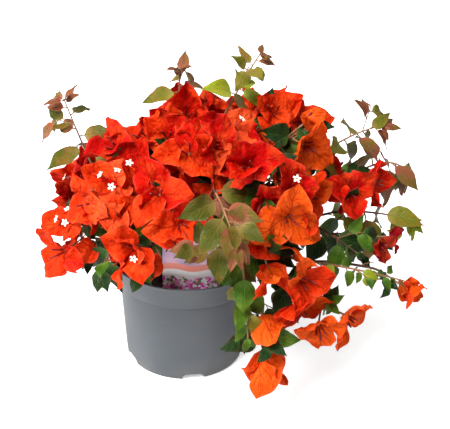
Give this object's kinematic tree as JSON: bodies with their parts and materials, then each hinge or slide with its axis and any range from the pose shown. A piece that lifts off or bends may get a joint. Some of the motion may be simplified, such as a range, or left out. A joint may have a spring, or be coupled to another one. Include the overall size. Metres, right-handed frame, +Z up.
{
  "type": "potted bougainvillea bush",
  "caption": "Flowering bougainvillea bush in a round grey nursery pot, with papery red-orange bracts, leafy shoots and a plain plant label.",
  "frame": {"origin": "centre of the pot's flat underside", "axes": "+Z up; -Y towards the front, where the label stands and the blooms hang over the rim; +X to the right as seen from the front"},
  "size_m": [0.4018, 0.3333, 0.3459],
  "materials": {
    "pot": "matt grey moulded plastic",
    "soil": "dark crumbly peat",
    "label": "printed card of mauve, coral and white bands over a speckle of pink and green",
    "bark": "thin brown bark with small scars",
    "bracts": "papery veined bracts from deep red to orange",
    "leaves": "soft leaves from dark green to olive and bronze"
  },
  "bodies": {
    "root": {"pot": "pot", "soil": "soil", "label": "label", "trunk": "bark", "bough_left_low": "bark", "bough_left": "bark", "bough_top_left": "bark", "bough_front_left": "bark", "bough_front": "bark", "bough_top": "bark", "bough_top_right": "bark", "bough_right": "bark", "bough_right_low": "bark", "bough_front_right": "bark", "bough_hanging": "bark", "bough_back_left": "bark", "bough_back_right": "bark", "bloom_left_low": "bracts", "bloom_left_mid": "bracts", "leaves_left": "leaves", "bloom_left_high": "bracts", "bloom_far_left": "bracts", "shoot_left": "leaves", "bloom_top_left": "bracts", "bloom_upper_left": "bracts", "shoot_top_left": "leaves", "bloom_front_left": "bracts", "bloom_front_low": "bracts", "leaves_label": "leaves", "bloom_mid_top": "bracts", "bloom_centre_top": "bracts", "shoot_top": "leaves", "bloom_centre_right": "bracts", "shoot_centre": "leaves", "bloom_top_right": "bracts", "bloom_high_right": "bracts", "shoot_top_right": "leaves", "bloom_right": "bracts", "shoot_right": "leaves", "leaves_right": "leaves", "leaves_right_low": "leaves", "bloom_small_right": "bracts", "shoot_low_right": "leaves", "bloom_far_right": "bracts", "bloom_right_mid": "bracts", "bloom_hang_mid": "bracts", "bloom_hang_right": "bracts", "bloom_hang_left": "bracts", "leaves_hang": "leaves", "bloom_hang_low": "bracts", "bloom_back_left_low": "bracts", "bloom_back_left": "bracts", "bloom_back_low": "bracts", "leaves_back": "leaves", "bloom_back_high": "bracts", "bloom_back_right": "bracts", "bloom_back_right_low": "bracts", "leaves_back_right": "leaves"}
  },
  "joints": []
}
